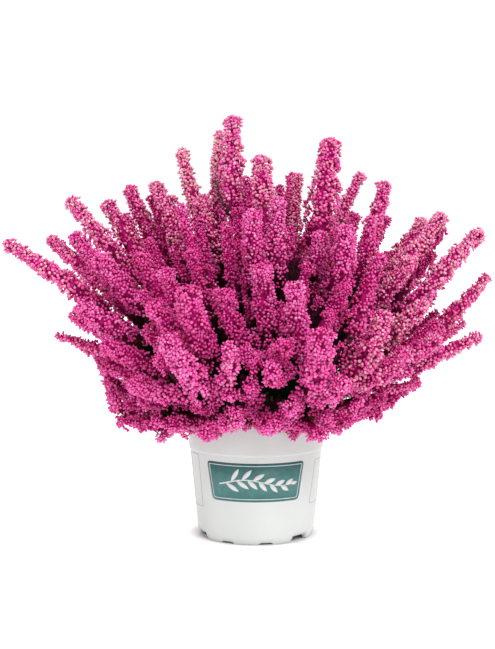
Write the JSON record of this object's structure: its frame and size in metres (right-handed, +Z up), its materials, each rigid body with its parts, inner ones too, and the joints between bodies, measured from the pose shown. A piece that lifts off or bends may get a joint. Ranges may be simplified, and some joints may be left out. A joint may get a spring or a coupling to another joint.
{
  "type": "potted cape heath",
  "caption": "Bushy potted heath: a wide dome of branching spikes crowded with tiny pink urn-shaped florets, on woody stems in peat, in a tapered white plastic pot with a rim band.",
  "frame": {"origin": "the middle of the pot's foot, on the surface that it stands on", "axes": "+Z up, -Y towards the viewer of the picture, +X to that viewer's right"},
  "size_m": [0.4281, 0.3131, 0.3712],
  "materials": {
    "pot": "white moulded plastic, satin gloss",
    "peat": "dark brown fibrous peat, dull",
    "stems": "brown bark, dull",
    "flowers": "magenta pink petals, soft satin sheen"
  },
  "bodies": {
    "root": {"pot": "pot", "peat": "peat", "woody_stems_middle": "stems", "woody_stems_front_right": "stems", "woody_stems_right": "stems", "woody_stems_far_right": "stems", "woody_stems_far_left": "stems", "woody_stems_left": "stems", "woody_stems_front_left": "stems", "branch_top": "flowers", "branch_top_right": "flowers", "branch_top_front": "flowers", "branch_upper_right": "flowers", "branch_right_high": "flowers", "branch_right_far": "flowers", "branch_right_low": "flowers", "branch_upper_left": "flowers", "branch_left_high": "flowers", "branch_left_far": "flowers", "branch_left_long": "flowers", "branch_left_front": "flowers", "branch_left_low": "flowers", "branch_front_left": "flowers", "branch_front_left_low": "flowers", "branch_front": "flowers", "branch_front_right": "flowers", "branch_front_right_low": "flowers", "branch_right_front": "flowers", "branch_right_under": "flowers", "skirt_left": "flowers", "skirt_front_left": "flowers", "skirt_front": "flowers", "skirt_middle": "flowers", "skirt_front_right": "flowers", "skirt_right": "flowers", "branch_far_top": "flowers", "branch_far_high_right": "flowers", "branch_far_high_left": "flowers", "branch_far_right": "flowers", "branch_far_middle_right": "flowers", "branch_far_middle_left": "flowers", "branch_far_left": "flowers", "branch_far_side_right": "flowers", "branch_far_side_left": "flowers", "skirt_far_right": "flowers", "skirt_far_middle_right": "flowers", "skirt_far_middle_left": "flowers", "skirt_far_left": "flowers"}
  },
  "joints": []
}
